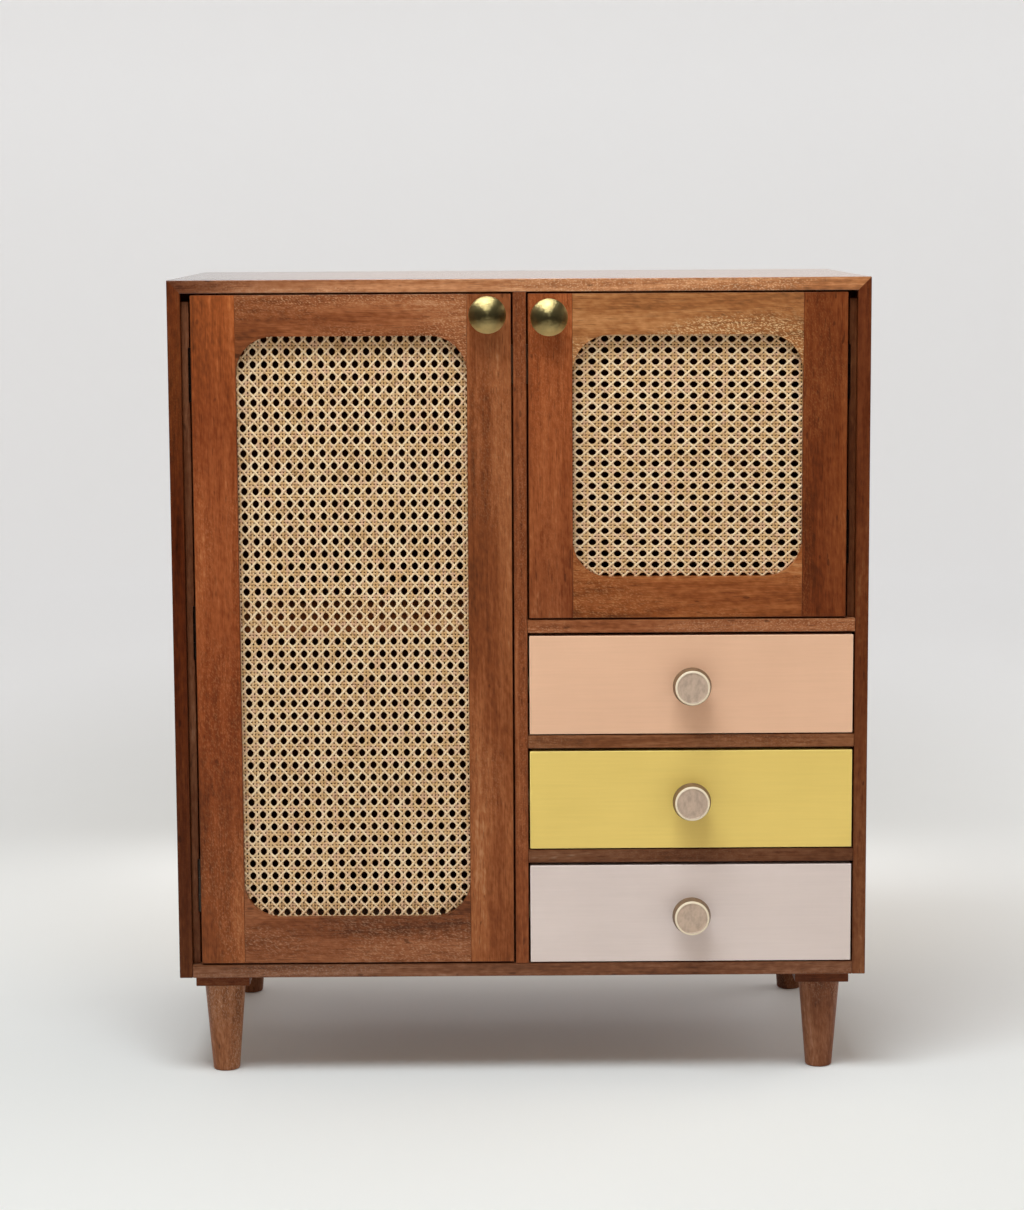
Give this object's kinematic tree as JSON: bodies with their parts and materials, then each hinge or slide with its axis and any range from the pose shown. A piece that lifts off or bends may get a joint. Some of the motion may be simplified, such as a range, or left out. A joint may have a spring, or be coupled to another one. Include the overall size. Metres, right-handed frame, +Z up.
{
  "type": "cabinet",
  "caption": "Free-standing wooden cabinet on tapered round legs, with cane-panelled cupboard doors beside and above painted drawers with round knobs.",
  "frame": {"origin": "on the floor, under the middle of the cabinet's box with its knobs", "axes": "+X to the right seen from the front, +Y from the front to the back, +Z up"},
  "size_m": [0.79, 0.478, 0.92],
  "materials": {
    "stained_wood": "satin lacquer over red-brown stain",
    "plain_wood": "unstained, sealed",
    "plywood": "bare",
    "peach_paint": "satin paint on wood",
    "yellow_paint": "satin paint on wood",
    "grey_pink_paint": "satin paint on wood",
    "cane": "natural woven cane",
    "brass": "satin lacquered",
    "pale_turned_wood": "whitewashed, waxed",
    "steel": "burnished",
    "catch_plastic": "moulded"
  },
  "bodies": {
    "carcass": {"back_panel": "plywood", "bottom_panel": "stained_wood", "centre_partition": "stained_wood", "cupboard_floor": "stained_wood", "cupboard_shelf": "stained_wood", "door_magnets": "catch_plastic", "drawer_rails": "stained_wood", "drawer_runners": "plain_wood", "front_left_leg": "stained_wood", "front_right_leg": "stained_wood", "hinge_frame_leaves": "steel", "hinge_pins": "steel", "left_hinge_batten": "stained_wood", "left_side_panel": "stained_wood", "leg_blocks": "stained_wood", "leg_bolts": "steel", "rear_left_leg": "stained_wood", "rear_right_leg": "stained_wood", "right_hinge_batten": "stained_wood", "right_side_panel": "stained_wood", "shelf_pins": "steel", "top_panel": "stained_wood"},
    "tall_door": {"tall_door_bottom_rail": "stained_wood", "tall_door_cane": "cane", "tall_door_cane_beads": "stained_wood", "tall_door_hinge_leaves": "steel", "tall_door_hinge_stile": "stained_wood", "tall_door_knob": "brass", "tall_door_knob_screw": "steel", "tall_door_knob_stile": "stained_wood", "tall_door_strike": "steel", "tall_door_top_rail": "stained_wood"},
    "small_door": {"small_door_bottom_rail": "stained_wood", "small_door_cane": "cane", "small_door_cane_beads": "stained_wood", "small_door_hinge_leaves": "steel", "small_door_hinge_stile": "stained_wood", "small_door_knob": "brass", "small_door_knob_screw": "steel", "small_door_knob_stile": "stained_wood", "small_door_strike": "steel", "small_door_top_rail": "stained_wood"},
    "upper_drawer": {"upper_drawer_back": "plain_wood", "upper_drawer_bottom": "plywood", "upper_drawer_front": "peach_paint", "upper_drawer_knob": "pale_turned_wood", "upper_drawer_knob_screw": "steel", "upper_drawer_sides": "plain_wood"},
    "middle_drawer": {"middle_drawer_back": "plain_wood", "middle_drawer_bottom": "plywood", "middle_drawer_front": "yellow_paint", "middle_drawer_knob": "pale_turned_wood", "middle_drawer_knob_screw": "steel", "middle_drawer_sides": "plain_wood"},
    "lower_drawer": {"lower_drawer_back": "plain_wood", "lower_drawer_bottom": "plywood", "lower_drawer_front": "grey_pink_paint", "lower_drawer_knob": "pale_turned_wood", "lower_drawer_knob_screw": "steel", "lower_drawer_sides": "plain_wood"}
  },
  "joints": [
    {"name": "tall_door_hinge", "type": "hinge", "parent": "carcass", "child": "tall_door", "pos_m": [-0.3702, -0.203, 0.52], "axis": [0, 0, -1], "range_deg": [0, 90]},
    {"name": "small_door_hinge", "type": "hinge", "parent": "carcass", "child": "small_door", "pos_m": [0.3702, -0.203, 0.72], "axis": [0, 0, 1], "range_deg": [0, 90]},
    {"name": "upper_drawer_slide", "type": "slide", "parent": "carcass", "child": "upper_drawer", "axis": [0, -1, 0], "range_m": [0, 0.28]},
    {"name": "middle_drawer_slide", "type": "slide", "parent": "carcass", "child": "middle_drawer", "axis": [0, -1, 0], "range_m": [0, 0.28]},
    {"name": "lower_drawer_slide", "type": "slide", "parent": "carcass", "child": "lower_drawer", "axis": [0, -1, 0], "range_m": [0, 0.28]}
  ]
}
